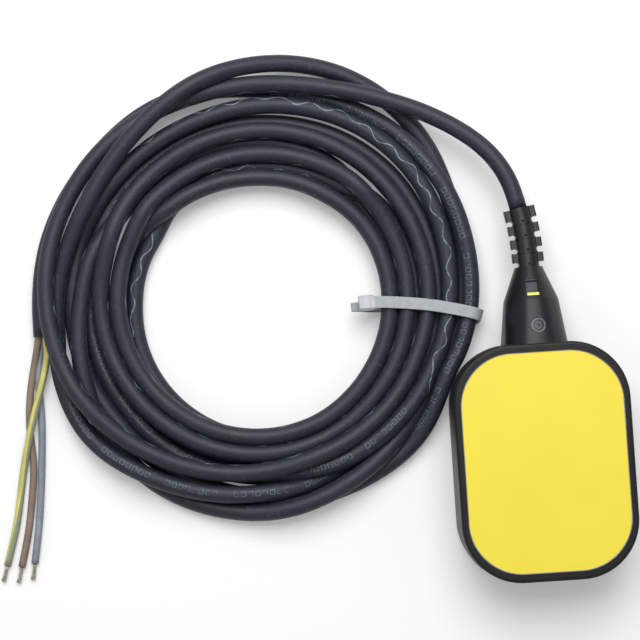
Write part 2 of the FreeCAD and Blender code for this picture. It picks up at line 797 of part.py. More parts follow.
def switch_plunger():
    """Domed button with a collar that stops it inside the housing."""
    radius = plunger_diameter / 2
    tip = lever_back_at_plunger(ball_start_from_pivot) + plunger_gap
    stem = rod((tip, plunger_y, mid), (1, 0, 0), plunger_inner_end() - tip, radius)
    stem = stem.makeFillet(plunger_dome, edges_at(stem, lambda b: b.XMax < tip + touch))
    collar = rod((switch_front + switch_wall + contact_gap / 2, plunger_y, mid), (1, 0, 0),
                 plunger_collar_thickness, plunger_collar / 2)
    return stem.fuse(collar)


def blade_x():
    """Middle of the switch blade's thickness at rest."""
    return plunger_inner_end() + contact_gap + blade_thickness / 2


def snap_blade():
    """Springy contact strip that rocks on the common terminal."""
    low_y = plunger_y - blade_below - blade_heel
    return box((blade_x() - blade_thickness / 2, low_y, mid - blade_width / 2),
               (blade_x() + blade_thickness / 2, plunger_y + blade_above, mid + blade_width / 2))


def terminal_slab(low_x, high_x, low_y, high_y):
    return box((low_x, plunger_y + low_y, mid - terminal_thickness / 2),
               (high_x, plunger_y + high_y, mid + terminal_thickness / 2))


def terminal_blade(at_y):
    """Flat tag that leaves the back of the switch, with its solder hole."""
    back = switch_front + switch_width
    tag = terminal_slab(back - switch_wall - terminal_root, back + terminal_out,
                        at_y - terminal_width / 2, at_y + terminal_width / 2)
    hole = rod((back + terminal_out - terminal_hole_from_end, plunger_y + at_y, mid - past),
               (0, 0, 1), 2 * past, terminal_hole / 2)
    return tag.cut(hole)


def common_terminal():
    """Tag whose inner edge carries the blade."""
    back = switch_front + switch_width
    stem = terminal_slab(blade_x() + blade_thickness / 2 + contact_gap, back - switch_wall,
                         -blade_below - contact_arm / 2, -blade_below + contact_arm / 2)
    return terminal_blade(-terminal_pitch).fuse(stem).removeSplitter()


def open_terminal():
    """Tag with the contact that the blade reaches when the plunger is pressed."""
    back = switch_front + switch_width
    blade_swing = plunger_stroke() * (blade_below + blade_above) / blade_below
    face_x = blade_x() + blade_thickness / 2 + blade_swing + contact_gap
    inner_x = back - switch_wall - open_contact_from_wall
    arm = terminal_slab(inner_x, inner_x + contact_arm, 0.0, blade_above)
    finger = terminal_slab(face_x, inner_x + contact_arm, blade_above - contact_arm, blade_above)
    root = terminal_slab(inner_x, back - switch_wall, -contact_arm / 2, contact_arm / 2)
    return terminal_blade(0.0).fuse([arm, finger, root]).removeSplitter()


def closed_terminal():
    """Tag with the contact that the blade rests near when the plunger is free."""
    back = switch_front + switch_width
    hook_x = blade_x() - blade_thickness / 2 - contact_gap
    low_y = blade_above + 2 * contact_gap
    stem = terminal_slab(hook_x - contact_arm, back - switch_wall, low_y, low_y + contact_arm)
    hook = terminal_slab(hook_x - contact_arm, hook_x, blade_above - contact_arm, low_y + contact_arm)
    return terminal_blade(terminal_pitch).fuse([stem, hook]).removeSplitter()


def switch_housing():
    """Moulded case of the snap switch, open upwards."""
    low_z, high_z = mid - switch_height / 2, mid + switch_height / 2 - switch_cover_thickness
    low_y, high_y = plunger_y - switch_length / 2, plunger_y + switch_length / 2
    case = box((switch_front, low_y, low_z), (switch_front + switch_width, high_y, high_z))
    hollow = box((switch_front + switch_wall, low_y + switch_wall, low_z + switch_wall),
                 (switch_front + switch_width - switch_wall, high_y - switch_wall, high_z + past))
    corners = [box((switch_front, y - switch_peg_block / 2, low_z),
                   (switch_front + switch_peg_block, y + switch_peg_block / 2, high_z + 2 * past))
               for y in peg_places()]
    case = case.cut(hollow.cut(corners))
    holes = [rod((switch_front + switch_peg_block / 2, y, low_z - past), (0, 0, 1),
                 switch_height + 2 * past, switch_peg_diameter / 2 + switch_peg_clearance)
             for y in peg_places()]
    guide = rod((switch_front - past, plunger_y, mid), (1, 0, 0), switch_wall + 2 * past,
                plunger_diameter / 2 + plunger_clearance)
    return case.cut(holes + [guide, common_terminal(), open_terminal(), closed_terminal()])


def switch_cover():
    high_z = mid + switch_height / 2
    low_y, high_y = plunger_y - switch_length / 2, plunger_y + switch_length / 2
    return box((switch_front, low_y, high_z - switch_cover_thickness),
               (switch_front + switch_width, high_y, high_z))


def lead_places():
    """Where each inner lead passes the capsule's wall: x, z, and the end beside the switch."""
    tag_x = switch_front + switch_width + terminal_out / 2
    tag_z = mid + terminal_thickness / 2 + core_radius
    cover_z = mid + switch_height / 2 + end_cap_diameter / 2
    upper_z = max(tag_z + core_diameter + lead_clearance, cover_z)
    earth_x = tag_x - earth_lead_offset
    return {"blue": (tag_x, tag_z, Vector(tag_x, plunger_y, tag_z)),
            "brown": (tag_x, upper_z, Vector(tag_x, plunger_y - terminal_pitch, tag_z)),
            "earth": (earth_x, upper_z, Vector(earth_x, plunger_y, upper_z))}


def lead(colour):
    """Core of the cable from its jacket's end to its place in the capsule."""
    x, z, end = lead_places()[colour]
    wall_y = capsule_y + capsule_length / 2
    angle = math.radians(lead_first_turn + 360.0 * lead_order.index(colour) / len(lead_order))
    first = Vector(core_circle * math.cos(angle), body_end - cable_tail_inside,
                   mid + core_circle * math.sin(angle))
    stagger = lead_stagger * (core_circle - first.x)
    points = [first, first - Vector(0, lead_straight + stagger, 0), Vector(x, wall_y + lead_straight, z)]
    if end.z < z:
        points.append(Vector(x, end.y + lead_drop_length, z))
    points.append(end)
    return tube(points, core_radius, "lead_" + colour, lead_bend)


def earth_end_cap():
    """Closed sleeve over the unused earth core."""
    end = lead_places()["earth"][2]
    sleeve = rod((end.x, end.y - end_cap_length / 3, end.z), (0, 1, 0), end_cap_length, end_cap_diameter / 2)
    bore = rod((end.x, end.y, end.z), (0, 1, 0), end_cap_length, core_radius)
    return sleeve.cut(bore)


def grommet_block(inset):
    """Rounded block that fills the capsule's lead opening."""
    places = lead_places()
    low_x = places["earth"][0] - core_radius - grommet_margin
    high_x = places["blue"][0] + core_radius + grommet_margin
    low_z = places["blue"][1] - core_radius - grommet_margin
    high_z = places["brown"][1] + core_radius + grommet_margin
    wall_y = capsule_y + capsule_length / 2
    return box((low_x, wall_y - capsule_wall - inset, low_z), (high_x, wall_y + inset, high_z))


def lead_grommet():
    """Rubber block round the three leads in the capsule's wall."""
    grommet = grommet_block(0.0).fuse([flat_lip(-1), flat_lip(1)])
    bores = []
    for x, z, _end in lead_places().values():
        bores.append(rod((x, capsule_y, z), (0, 1, 0), capsule_length, core_radius))
    return grommet.cut(bores).removeSplitter()


def flat_lip(side):
    """Lip of the grommet on one face of the capsule's wall."""
    hole = grommet_block(0.0).BoundBox
    y = hole.YMax if side > 0 else hole.YMin - grommet_lip
    return box((hole.XMin - grommet_lip, y, hole.ZMin - grommet_lip),
               (hole.XMax + grommet_lip, y + grommet_lip, min(hole.ZMax + grommet_lip, base_rim)))


nodes = {
    "rear_shell": rear_shell,
    "front_shell": front_shell,
    "rear_label": lambda: label(False),
    "front_label": lambda: label(True),
    "cable_neck": cable_neck,
    "marker_tab": marker_tab,
    "gland_seal": gland_seal,
    "gland_nut": gland_nut,
    "strain_relief": strain_relief,
    "cable_tail": cable_tail,
    "cable_run": cable_run,
    "cable_coil": cable_coil,
    "cable_tie": cable_tie,
    "core_brown": lambda: core(brown_route, "core_brown"),
    "core_earth": lambda: core(earth_route, "core_earth"),
    "core_blue": lambda: core(blue_route, "core_blue"),
    "conductor_brown": lambda: conductor(brown_route, "conductor_brown"),
    "conductor_earth": lambda: conductor(earth_route, "conductor_earth"),
    "conductor_blue": lambda: conductor(blue_route, "conductor_blue"),
    "capsule_base": capsule_base,
    "capsule_cover": capsule_cover,
    "capsule_gasket": capsule_gasket_ring,
    "lever_pin": lever_pin,
    "lever": lever,
    "steel_ball": steel_ball,
    "switch_housing": switch_housing,
    "switch_cover": switch_cover,
    "switch_plunger": switch_plunger,
    "snap_blade": snap_blade,
    "common_terminal": common_terminal,
    "open_terminal": open_terminal,
    "closed_terminal": closed_terminal,
    "lead_brown": lambda: lead("brown"),
    "lead_blue": lambda: lead("blue"),
    "lead_earth": lambda: lead("earth"),
    "earth_end_cap": earth_end_cap,
    "lead_grommet": lead_grommet,
}

os.makedirs("parts", exist_ok=True)
for name, build in nodes.items():
    shape = build()
    if not shape.isValid():
        print("not valid:", name)
    solids = shape.Solids
    if len(solids) == 1:
        shape = solids[0]
    shape.exportStep("parts/" + name + ".step")
    print(name, "solids", len(solids), "volume", round(shape.Volume, 1))

swing = lever_lean(ball_start_from_pivot) - lever_lean(ball_start_from_pivot + ball_travel)
print("lever ratio rad/m", round(-swing / ball_travel * 1000, 4), "swing deg", round(math.degrees(swing), 3))
print("plunger ratio", round(plunger_stroke() / ball_travel, 5), "stroke", round(plunger_stroke(), 3))
print("blade ratio rad/m", round(-plunger_stroke() / blade_below / ball_travel * 1000, 4))
print("pivot", pivot, "blade pivot", round(blade_x(), 3), round(plunger_y - blade_below, 3))
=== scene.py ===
import json
import math

import bpy
import numpy as np
from mathutils import Matrix, Vector


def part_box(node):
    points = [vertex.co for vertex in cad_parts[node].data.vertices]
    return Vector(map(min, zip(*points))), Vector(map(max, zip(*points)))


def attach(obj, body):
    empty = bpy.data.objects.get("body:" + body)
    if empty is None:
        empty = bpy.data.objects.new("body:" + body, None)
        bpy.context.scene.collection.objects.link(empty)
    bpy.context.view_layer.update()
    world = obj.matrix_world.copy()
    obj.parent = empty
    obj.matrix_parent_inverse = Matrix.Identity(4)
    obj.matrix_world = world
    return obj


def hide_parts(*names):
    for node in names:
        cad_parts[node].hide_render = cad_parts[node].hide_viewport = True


# A cable float switch lying flat: float with coloured faces, neck, strain relief, and a tied
# coil of rubber cable with three bare-ended cores. Lengths are in metres unless a name says mm.
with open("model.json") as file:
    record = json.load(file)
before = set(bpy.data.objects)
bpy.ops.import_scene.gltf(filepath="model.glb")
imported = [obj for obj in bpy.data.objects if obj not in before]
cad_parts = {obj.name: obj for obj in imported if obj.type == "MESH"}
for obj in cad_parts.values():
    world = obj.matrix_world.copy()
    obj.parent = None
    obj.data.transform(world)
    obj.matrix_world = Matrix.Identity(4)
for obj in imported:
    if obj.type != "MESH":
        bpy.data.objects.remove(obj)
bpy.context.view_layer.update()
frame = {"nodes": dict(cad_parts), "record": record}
record = frame["record"]
MM = 0.001

# Cable and its cores
cable_diameter = 0.0084
core_diameter = 0.0036
conductor_length = 0.008

# Sides of their round meshes, and points of their lines for each control point
cable_sides, cable_steps = 28, 4
core_sides, core_steps = 20, 8

# As in part.py: bend and length of the strain relief, neck's top, middle level, coil's middle,
# the float's width, corners and upper end, and the corners of its front plate
relief_bend_mm = 141.0
relief_length_mm = 28.6
neck_top_mm = 74.5
mid_mm = 20.5
coil_centre_mm = (-134.5, 69.0)
float_width_mm = 84.0
float_corner_mm = 28.4
float_end_mm = 38.0
label_corner_mm = 25.0

# Radius of the pale grey bead round the plate, a painted highlight along the rim's inner lip
highlight_bead_mm = 0.32

# Neck's front, in the float's frame: the roundness of its faces, the middle and half size of the
# pocket whose floor is painted paler as a painted highlight, and the mark's middle with the radii of its
# two rings
neck_bulge_radius = 0.019
window_at_mm = (-0.3, 64.5)
window_half_mm = (2.8, 3.5)
mark_at_mm = (1.0, 46.0)
mark_rings_mm = (3.0, 1.4)

# Marks along the jacket: the wave lengths of its wavy line and how far it strays, as shares of the
# girth, then the pitch of its printed dashes and of their groups, and how many would go round
wave_lengths = (0.0147, 0.041)
wave_shares = (0.05, 0.03)
dash_pitch = 0.0034
dash_group_pitch = 0.034
dashes_round = 7.0

# Free stretch, from the strain relief: its straight start, then points in the float's frame,
# then points from the coil's middle, in mm
run_start_mm = 10.0
run_by_float_mm = ((-9.1, 122.6, 20.1), (-15.7, 132.2, 19.1), (-25.5, 141.2, 17.8))
run_by_coil_mm = ((97.1, 80.1, 16.4), (83.8, 86.9, 15.1), (71.5, 91.6, 14.2))

# The cable's turns as they lie, from the outside in and back: degrees round the turns' middle,
# distance from it in mm, and the layer (0 on the floor, 1 on one strand, 2 on two; -1 is a strand
# that is hidden, which lies on the floor wherever the others leave it room)
turns_centre_mm = (-132.3, 68.0)
turn_points = (
    # first turn, on top all round
    (56, 112.4, 1.2), (66, 108.5, 1), (76, 105.7, 1), (86, 104.6, 1), (101, 103.7, 1), (116, 103.7, 1),
    (131, 104.1, 1), (146, 103.2, 1), (161, 102.2, 1.1), (176, 100.7, 1.4), (191, 98.7, 1.6),
    (206, 96.0, 1.8), (221, 92.1, 1.8), (236, 88.2, 1.6), (251, 85.8, 1.4), (266, 83.4, 1.2),
    (281, 81.5, 1), (296, 81.0, 1), (326, 82.0, 1), (341, 82.9, 1),
    # second turn, on top
    (356, 84.3, 1), (386, 84.3, 1), (416, 84.3, 1), (446, 82.4, 1), (476, 79.6, 1), (506, 77.1, 1),
    (536, 74.7, 1), (566, 73.3, 1), (596, 72.8, 1), (626, 73.8, 1), (656, 74.7, 1), (686, 74.7, 1),
    # third turn, on top, under the second where it is lowest
    (716, 73.8, 1), (746, 73.8, 1), (776, 73.3, 1), (806, 70.9, 1), (836, 69.0, 1), (866, 66.5, 1),
    (896, 66.1, 1), (926, 66.5, 1), (956, 67.0, 0.9), (986, 67.5, 0.8), (1016, 68.5, 0.8),
    (1046, 66.1, 0.9),
    # innermost turn, going down under the third
    (1076, 65.6, 1), (1106, 64.7, 1), (1136, 61.7, 1), (1166, 59.3, 0.8), (1196, 60.3, 0.4),
    (1226, 63.2, 0), (1256, 66.2, -1), (1286, 72.0, -1), (1316, 76.5, -1), (1346, 77.5, -1),
    (1376, 78.6, -1), (1406, 78.6, -1), (1436, 78.6, -1), (1466, 76.2, -1), (1486, 71.0, 0.9),
    (1501, 67.0, 0.4),
    # low turn that shows at the inside
    (1526, 65.6, 0), (1556, 63.2, 0), (1586, 59.8, 0), (1616, 58.5, 0), (1646, 61.3, 0), (1676, 64.6, 0),
    (1706, 68.0, 0), (1736, 70.0, -1), (1796, 70.0, -1), (1826, 69.5, -1), (1841, 70.5, -1),
    (1853, 76.0, -1), (1868, 79.0, -1), (1886, 77.5, -1), (1916, 77.2, -1), (1931, 77.9, 0.2),
    (1946, 78.7, 0.5), (1961, 80.5, 0.9), (1976, 83.4, 1), (1991, 87.8, 0.9), (2006, 92.0, 0.5),
    # out under the first turn, over the strand outside it, and out to the widest bulge
    (2021, 96.6, 0), (2036, 101.4, 0), (2051, 102.9, 0), (2066, 102.9, 0.2), (2081, 101.5, 0.6),
    (2096, 98.9, 0.9), (2111, 96.8, 0.7), (2126, 95.3, 0.3), (2141, 97.3, 0), (2156, 101.1, 0),
    (2168, 102.9, 0), (2181, 105.3, 0), (2190, 108.6, 0), (2201, 113.9, 0), (2211, 117.3, 0),
    (2224, 119.3, 0), (2236, 117.8, 0.5), (2246, 114.9, 1), (2256, 111.0, 1.6), (2266, 106.1, 2),
    (2276, 100.9, 2), (2291, 95.6, 1.8), (2306, 92.2, 1.3), (2316, 92.6, 0.9), (2331, 95.6, 0.3),
    # out again under the first turn and over the low strand outside
    (2346, 98.4, 0), (2356, 101.6, 0), (2371, 104.8, 0.3), (2381, 102.9, 0.8), (2394, 99.4, 1),
    (2411, 96.1, 0.8), (2426, 93.6, 0.6), (2441, 92.2, 0.4), (2456, 91.2, 0.1), (2486, 88.8, -1),
    (2516, 88.8, -1), (2556, 90.7, 0), (2576, 89.8, 0), (2601, 87.0, 0), (2636, 85.5, 0), (2666, 84.0, 0),
    (2696, 80.7, 0), (2716, 81.2, 0), (2741, 83.0, 0), (2771, 84.0, 0.1),
    # turn that carries the wavy line
    (2791, 85.9, 0.7), (2816, 88.9, 1), (2846, 91.7, 1), (2886, 95.1, 1), (2898, 97.0, 1),
    (2913, 99.0, 1), (2926, 99.0, 1), (2936, 98.5, 1), (2951, 96.6, 1), (2966, 94.6, 1),
    (2981, 91.7, 1), (2996, 90.2, 0.9), (3026, 88.3, 0.5), (3056, 88.8, 0.1), (3086, 90.2, -1),
    (3116, 91.5, -1), (3134, 93.2, 0), (3146, 95.6, 0),
    # last turn, at the outside, down to the jacket's end
    (3161, 98.9, 0), (3176, 101.4, 0), (3191, 102.5, 0), (3206, 100.2, 0.5), (3221, 102.2, 0.9),
    (3236, 104.8, 1), (3251, 105.5, 1), (3266, 107.4, 0.9), (3281, 107.4, 0.4), (3296, 106.0, 0),
    (3311, 103.3, 0), (3326, 102.9, 0), (3341, 105.8, 0), (3356, 107.2, 0), (3376, 104.3, 0),
    (3401, 105.3, 0), (3416, 104.3, 0), (3426, 103.4, 0),
)
turn_step = 6.0

# Side of the jacket that faces up at the same degrees, as a share of its girth: 0 its wavy line,
# 0.5 its printed dashes
mark_points = (
    (56, -0.25), (1480, -0.25), (1530, -0.02), (1624, 0.0), (1640, 0.25), (2340, 0.25), (2370, 0.46),
    (2440, 0.50), (2480, 0.3), (2560, 0.25), (2600, 0.42), (2680, 0.42), (2760, 0.45), (2800, 0.50),
    (2842, 0.46), (2854, 0.0), (2925, 0.0), (2945, 0.07), (2966, 0.13), (3000, 0.16), (3040, 0.25),
    (3180, 0.25), (3215, 0.46), (3330, 0.44), (3370, 0.25), (3430, 0.25),
)

# How the turns settle: rounds, then what each round does to a strand's place. It sinks by some mm,
# evens out with its neighbours, and is drawn to its seen or hidden distance and to its level.
# Strands that overlap push each other apart, more in height than sideways.
settle_rounds = 600
sink_mm = 0.05
evening = 0.2
seen_hold = 0.10
hidden_hold = 0.02
level_hold = 0.03
push_aside, push_up = 0.5, 0.9
float_gap_mm = 0.3

# Ends of the cores: from inside the jacket's end to where they are bare, from the coil's middle, mm
core_routes_mm = {
    "brown": ((-103.9, -9.6, 5.4), (-105.5, -18.3, 3.8), (-108.1, -27.8, 2.1), (-110.1, -37.5, 1.8),
              (-111.3, -47.2, 1.8), (-111.6, -56.9, 1.8), (-111.1, -65.3, 1.8), (-110.6, -74.1, 1.8),
              (-111.3, -82.3, 1.8), (-112.5, -91.0, 1.8), (-114.1, -101.6, 1.8), (-116.0, -110.7, 1.8),
              (-119.3, -123.1, 1.8)),
    "earth": ((-101.4, -9.6, 4.6), (-100.4, -19.6, 4.6), (-101.5, -25.4, 4.8), (-103.1, -32.1, 5.3),
              (-105.1, -38.8, 5.6), (-107.8, -47.9, 5.6), (-110.5, -57.0, 5.6), (-113.0, -66.1, 4.6),
              (-115.5, -75.7, 2.4), (-117.4, -85.8, 1.8), (-119.1, -95.4, 1.8), (-121.3, -106.0, 1.8),
              (-126.3, -122.1, 1.8)),
    "blue": ((-102.9, -9.6, 2.6), (-103.8, -18.3, 1.9), (-105.1, -26.1, 1.8), (-105.9, -33.9, 1.8),
             (-105.8, -40.7, 1.8), (-105.5, -47.6, 1.8), (-105.6, -57.3, 1.8), (-106.3, -68.0, 1.8),
             (-107.3, -81.6, 1.8), (-108.3, -91.3, 1.8), (-109.4, -100.9, 1.8), (-110.9, -110.6, 1.8),
             (-112.9, -121.9, 1.8)),
}

# Shares of a core's length, and how far its stripe is turned from the top there
core_twist = ((0.0, 0.3, 0.4, 0.55, 0.75, 1.0), (0.0, 0.02, 0.11, 0.09, 0.03, 0.20))

# Tie round the turns, from the coil's middle, in mm: its strap bends in plan, and its profile runs
# from the head over the turns, under them and up to the cut tail
tie_head_at = (58.0, -6.3)
tie_bend = 0.0034
tie_over_mm = ((56.0, 15.4), (60.0, 16.4), (66.0, 16.8), (86.0, 16.7), (103.0, 16.8), (108.3, 16.9),
               (111.1, 13.5), (111.1, 5.0))
tie_under_mm = ((110.3, 0.8), (104.0, 0.7), (90.0, 0.7), (70.0, 0.7), (63.0, 1.2), (59.0, 5.0),
                (55.5, 9.5), (52.0, 12.2), (48.7, 13.6))
tie_width_mm = 5.7
tie_thickness_mm = 1.3
tie_tail_width_mm = 4.3
tie_under_aside_mm = 1.4

# Tie's head, as places along it: distance from the coil's middle, height, width and depth
tie_head_mm = ((52.2, 14.2, 6.6, 6.2), (52.7, 14.2, 7.5, 7.0), (57.8, 14.2, 7.5, 7.0),
               (58.4, 14.4, 7.2, 6.4), (61.2, 16.2, 5.5, 1.5))


class Value:
    """Output of a shader node that Python's arithmetic works on."""

    def __init__(self, finish, socket):
        self.finish = finish
        self.socket = socket

    def maths(self, operation, *others):
        inputs = {index: other for index, other in enumerate((self,) + others)}
        return self.finish.node("ShaderNodeMath", {"operation": operation}, inputs)

    def __add__(self, other):
        return self.maths("ADD", other)

    __radd__ = __add__

    def __mul__(self, other):
        return self.maths("MULTIPLY", other)

    __rmul__ = __mul__

    def __sub__(self, other):
        return self.maths("SUBTRACT", other)

    def __rsub__(self, other):
        return (self * -1.0) + other

    def __truediv__(self, other):
        return self.maths("DIVIDE", other)

    def largest(self, other):
        return self.maths("MAXIMUM", other)

    def power(self, other):
        return self.maths("POWER", other)

    def size(self):
        return self.maths("ABSOLUTE")

    def sine(self):
        return self.maths("SINE")

    def remainder(self, other):
        return self.maths("FLOORED_MODULO", other)

    def eased(self, low, high):
        """0 below low, 1 above high, smooth between."""
        settings = {"interpolation_type": "SMOOTHSTEP"}
        inputs = {"Value": self, "From Min": low, "From Max": high}
        return self.finish.node("ShaderNodeMapRange", settings, inputs)

    def within(self, middle, half, ease):
        """1 as far as half from the middle, 0 beyond, smooth over twice the ease between."""
        return 1 - (self - middle).size().eased(half - ease, half + ease)


class Finish:
    """A material while it is made. Every node comes from node()."""

    def __init__(self, name):
        self.material = bpy.data.materials.new(name)
        self.material.use_nodes = True
        self.tree = self.material.node_tree
        self.tree.nodes.clear()

    def node(self, kind, settings=None, inputs=None, output=0):
        made = self.tree.nodes.new(kind)
        for name, value in (settings or {}).items():
            setattr(made, name, value)
        for name, value in (inputs or {}).items():
            if isinstance(value, Value):
                self.tree.links.new(value.socket, made.inputs[name])
            else:
                made.inputs[name].default_value = value
        return Value(self, made.outputs[output])

    def place(self):
        """Place on the object, in metres."""
        return self.node("ShaderNodeTexCoord", output="Object")

    def kept(self, name):
        """Value that the mesh keeps at each of its points."""
        return self.node("ShaderNodeAttribute", {"attribute_name": name}, output="Fac")

    def noise(self, where, scale, detail=2.0, roughness=0.5):
        inputs = {"Vector": where, "Scale": scale, "Detail": detail, "Roughness": roughness}
        return self.node("ShaderNodeTexNoise", {"noise_dimensions": "3D"}, inputs)

    def mix(self, factor, first, second):
        """Colour between two colours."""
        inputs = {"Factor": factor, "A": rgba(first), "B": rgba(second)}
        return self.node("ShaderNodeMix", {"data_type": "RGBA"}, inputs, output="Result")

    def bump(self, height, depth):
        """Normal of a surface whose height varies from 0 to 1 over this depth in metres."""
        return self.node("ShaderNodeBump", None, {"Height": height, "Distance": depth, "Strength": 1.0})

    def surface(self, **sockets):
        """Ends the material with its shader. An underscore in a socket's name stands for a space."""
        inputs = {name.replace("_", " "): value for name, value in sockets.items()}
        inputs["Base Color"] = rgba(inputs["Base Color"])
        shader = self.node("ShaderNodeBsdfPrincipled", None, inputs)
        output = self.tree.nodes.new("ShaderNodeOutputMaterial")
        self.tree.links.new(shader.socket, output.inputs["Surface"])
        return self.material


def rgba(colour):
    return colour if isinstance(colour, Value) else tuple(colour) + (1.0,)


def shade(colour, factor):
    return tuple(channel * factor for channel in colour)


def moulded(name, colour, roughness, grain, mottle=0.12, shine=0.5):
    """Moulded plastic or rubber: fine grain, slight mottling, uneven gloss."""
    finish = Finish(name)
    place = finish.place()
    cloud = finish.noise(place, 60.0, 3.0)
    speckle = finish.noise(place, 1400.0, 2.0)
    tone = finish.mix(cloud.eased(0.3, 0.7), shade(colour, 1 - mottle), shade(colour, 1 + mottle))
    gloss = roughness + (cloud - 0.5) * 0.12 + (speckle - 0.5) * 0.1
    return finish.surface(Base_Color=tone, Roughness=gloss, Specular_IOR_Level=shine,
                          Normal=finish.bump(speckle, grain))


def neck_plastic():
    """Moulded black of the cable neck: slightly bulging faces, a ring mark, and a window's floor painted
    paler as a painted highlight.
    """
    finish = Finish("neck_black")
    place = finish.place()
    across = finish.node("ShaderNodeSeparateXYZ", None, {"Vector": place}, output="X")
    upward = finish.node("ShaderNodeSeparateXYZ", None, {"Vector": place}, output="Y")
    cloud = finish.noise(place, 60.0, 3.0)
    speckle = finish.noise(place, 1400.0, 2.0)
    across_mm, upward_mm = across / MM, upward / MM
    # Painted highlight: the window pocket's floor is painted paler grey, standing in for light on it
    window_highlight_mask = (across_mm.within(window_at_mm[0], window_half_mm[0], 0.1)
                 * upward_mm.within(window_at_mm[1], window_half_mm[1], 0.1))
    aside, along = across_mm - mark_at_mm[0], upward_mm - mark_at_mm[1]
    from_mark = (aside * aside + along * along).power(0.5)
    outer, inner = (from_mark.within(distance, 0.45, 0.15) for distance in mark_rings_mm)
    black = finish.mix(cloud.eased(0.3, 0.7), (0.0080, 0.0082, 0.0100), (0.0105, 0.0108, 0.0130))
    marked = finish.mix(outer.largest(inner * 0.6), black, (0.11, 0.115, 0.125))
    tone = finish.mix(window_highlight_mask, marked, (0.055, 0.052, 0.058))
    gloss = 0.44 + (cloud - 0.5) * 0.12 + (speckle - 0.5) * 0.1
    bulge = (across * across) / (-2 * neck_bulge_radius)
    normal = finish.bump(bulge + speckle * 0.00003, 1.0)
    return finish.surface(Base_Color=tone, Roughness=gloss, Specular_IOR_Level=0.38, Normal=normal)


def cable_rubber():
    """Matt rubber jacket with faint dust, a wavy line on one side and worn dashes on the other."""
    finish = Finish("cable_rubber")
    along, around = finish.kept("along"), finish.kept("around")
    place = finish.place()
    cloud = finish.noise(place, 45.0, 3.0)
    scuff = finish.noise(place, 420.0, 3.0, 0.65)
    grain = finish.noise(place, 1500.0, 2.0)
    worn = finish.noise(place, 260.0, 2.0).eased(0.35, 0.55)
    base = finish.mix(cloud.eased(0.3, 0.7), (0.0094, 0.0124, 0.0232), (0.0142, 0.0182, 0.0320))
    grainy = finish.mix(grain.eased(0.35, 0.75) * 0.5, base, (0.034, 0.040, 0.056))
    dusty = finish.mix(scuff.eased(0.52, 0.8) * 0.35, grainy, (0.085, 0.094, 0.118))
    specks = finish.node("ShaderNodeTexVoronoi", {"feature": "F1"}, {"Vector": place, "Scale": 170.0})
    dots = (1 - specks.eased(0.03, 0.075)) * finish.noise(place, 90.0, 1.0).eased(0.56, 0.66)
    speckled = finish.mix(dots * 0.5, dusty, (0.35, 0.36, 0.38))
    short, slow = (along * (2 * math.pi / length) for length in wave_lengths)
    wave = short.sine() * wave_shares[0] + slow.sine() * wave_shares[1]
    line = (around.remainder(1.0) - wave).within(0.5, 0.011, 0.005)
    beside = ((along / dash_pitch).remainder(1.0) - 0.5).size()
    over = ((around + 0.5).remainder(1.0) - 0.5).size() * dashes_round
    outlines = beside.largest(over).within(0.31, 0.05, 0.02)
    groups = (along / dash_group_pitch).remainder(1.0).eased(0.20, 0.215)
    marks = (line * (0.25 + worn * 0.75)).largest(outlines * groups * worn * 0.5)
    marked = finish.mix(marks, speckled, (0.21, 0.25, 0.31))
    gloss = 0.55 + (cloud - 0.5) * 0.15 + (scuff - 0.5) * 0.2
    return finish.surface(Base_Color=marked, Roughness=gloss, Normal=finish.bump(grain, 0.00004))


def core_plastic(name, colour, stripe=None):
    """Insulation of a core, with a stripe along each side of the earth core."""
    finish = Finish(name)
    place = finish.place()
    cloud = finish.noise(place, 120.0, 3.0)
    grain = finish.noise(place, 2500.0, 2.0)
    tone = finish.mix(cloud.eased(0.3, 0.7), shade(colour, 0.85), shade(colour, 1.12))
    if stripe is not None:
        from_stripe = ((finish.kept("around") * 2.0 + 0.5).remainder(1.0) - 0.5).size()
        tone = finish.mix(from_stripe.eased(0.20, 0.24), tone, stripe)
    gloss = 0.42 + (cloud - 0.5) * 0.15
    return finish.surface(Base_Color=tone, Roughness=gloss, Normal=finish.bump(grain, 0.00002))


def label_sheet(name, colour):
    """Satin printed plate."""
    finish = Finish(name)
    place = finish.place()
    cloud = finish.noise(place, 25.0, 2.0)
    peel = finish.noise(place, 650.0, 2.0)
    tone = finish.mix(cloud.eased(0.3, 0.7), shade(colour, 0.985), shade(colour, 1.01))
    gloss = 0.4 + (cloud - 0.5) * 0.1
    return finish.surface(Base_Color=tone, Roughness=gloss, Normal=finish.bump(peel, 0.00001))


def nylon(name, colour):
    """Satin nylon of the tie."""
    finish = Finish(name)
    place = finish.place()
    cloud = finish.noise(place, 300.0, 2.0)
    tone = finish.mix(cloud.eased(0.3, 0.7), shade(colour, 0.93), shade(colour, 1.06))
    gloss = 0.36 + (cloud - 0.5) * 0.15
    return finish.surface(Base_Color=tone, Roughness=gloss, Normal=finish.bump(cloud, 0.00003))


def metal(name, colour, roughness):
    """Drawn or polished metal with faint tarnish."""
    finish = Finish(name)
    place = finish.place()
    cloud = finish.noise(place, 500.0, 3.0)
    tone = finish.mix(cloud.eased(0.3, 0.75), colour, shade(colour, 0.6))
    gloss = roughness + (cloud - 0.5) * 0.2
    return finish.surface(Base_Color=tone, Roughness=gloss, Metallic=1.0)


